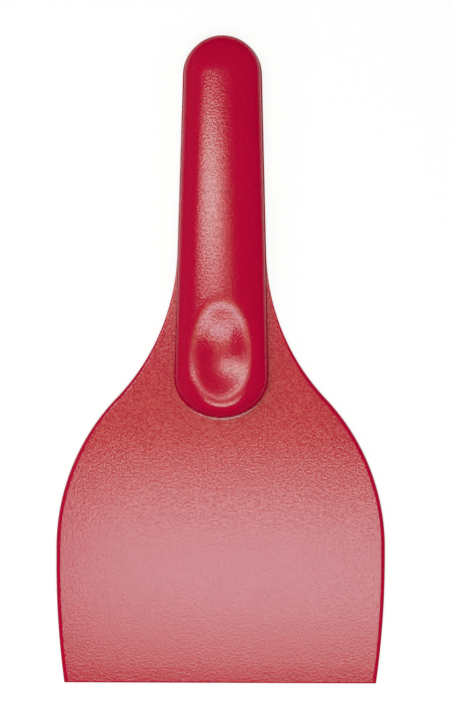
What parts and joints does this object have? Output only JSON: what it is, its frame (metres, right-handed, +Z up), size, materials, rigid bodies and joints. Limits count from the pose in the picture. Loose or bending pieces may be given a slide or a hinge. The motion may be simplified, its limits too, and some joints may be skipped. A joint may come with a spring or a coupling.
{
  "type": "pan scraper",
  "caption": "Hand-held plastic pan scraper: a flat paddle blade with rounded shoulders that thins to a straight scraping edge, under a hollow tapered grip with an oval thumb dish.",
  "frame": {"origin": "under the middle of the scraper's length and width, on the flat underside", "axes": "+Y along the grip, away from the scraping edge; +X across the blade; +Z up, out of the face that carries the grip"},
  "size_m": [0.11, 0.2164, 0.0125],
  "materials": {
    "blade_plastic": "crimson moulded plastic with a fine spark-eroded satin texture",
    "handle_plastic": "crimson moulded plastic, smooth with a soft gloss"
  },
  "bodies": {
    "root": {"blade": "blade_plastic", "handle": "handle_plastic"}
  },
  "joints": []
}
